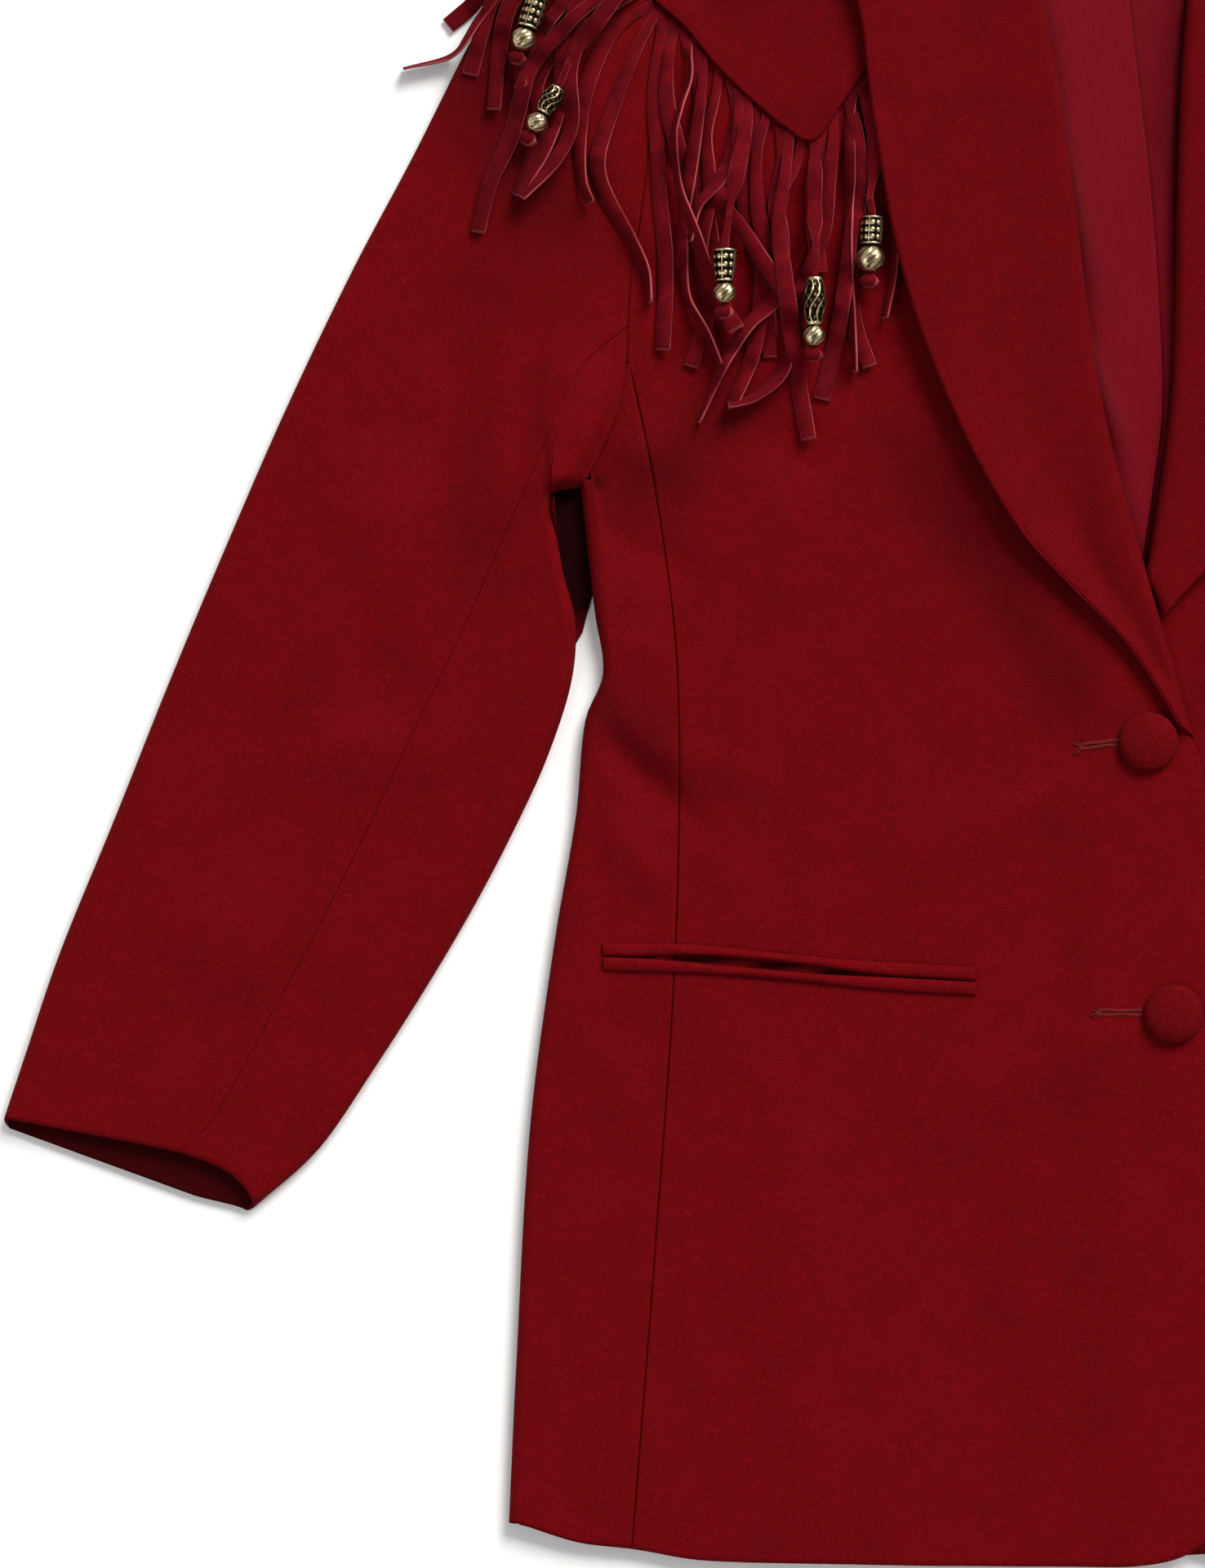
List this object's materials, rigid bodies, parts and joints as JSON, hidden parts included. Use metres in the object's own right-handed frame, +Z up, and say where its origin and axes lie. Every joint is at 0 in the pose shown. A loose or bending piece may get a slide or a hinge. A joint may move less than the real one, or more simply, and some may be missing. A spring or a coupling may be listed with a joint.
{
  "type": "western blazer",
  "caption": "Shawl-collared wool blazer laid flat on its back, buttoned, its western yokes edged with suede fringe that carries brass beads.",
  "frame": {"origin": "middle of the laid-out jacket's outline, on the surface it lies on", "axes": "+X to the wearer's left, +Y from hem to neck, +Z up from the surface, out of the jacket's front"},
  "size_m": [0.9452, 0.7476, 0.0248],
  "materials": {
    "wool": "matte napped twill wool, deep red",
    "suede": "suede, slightly wine red, with paler raw edges",
    "satin": "satin lining, soft sheen",
    "covered_button": "domed button covered in the shell cloth",
    "brass": "antiqued cast brass, dark in its relief"
  },
  "bodies": {
    "root": {"armhole_fringe_left": "suede", "armhole_fringe_right": "suede", "back": "wool", "ball_chest_left": "brass", "ball_chest_right": "brass", "ball_lapel_left": "brass", "ball_lapel_right": "brass", "ball_point_left": "brass", "ball_point_right": "brass", "ball_shoulder_left": "brass", "ball_shoulder_right": "brass", "ball_sleeve_left": "brass", "ball_sleeve_right": "brass", "barrel_chest_left": "brass", "barrel_chest_right": "brass", "barrel_lapel_left": "brass", "barrel_lapel_right": "brass", "barrel_point_left": "brass", "barrel_point_right": "brass", "barrel_shoulder_left": "brass", "barrel_shoulder_right": "brass", "barrel_sleeve_left": "brass", "barrel_sleeve_right": "brass", "button_lower": "covered_button", "button_upper": "covered_button", "collar": "wool", "front_left": "wool", "front_right": "wool", "lapel_left": "wool", "lapel_right": "wool", "lining": "satin", "side_left": "wool", "side_right": "wool", "under_sleeve_left": "wool", "under_sleeve_right": "wool", "upper_sleeve_left": "wool", "upper_sleeve_right": "wool", "welt_lower_left": "wool", "welt_lower_right": "wool", "welt_upper_left": "wool", "welt_upper_right": "wool", "yoke_fringe_left": "suede", "yoke_fringe_right": "suede", "yoke_left": "wool", "yoke_right": "wool"}
  },
  "joints": []
}
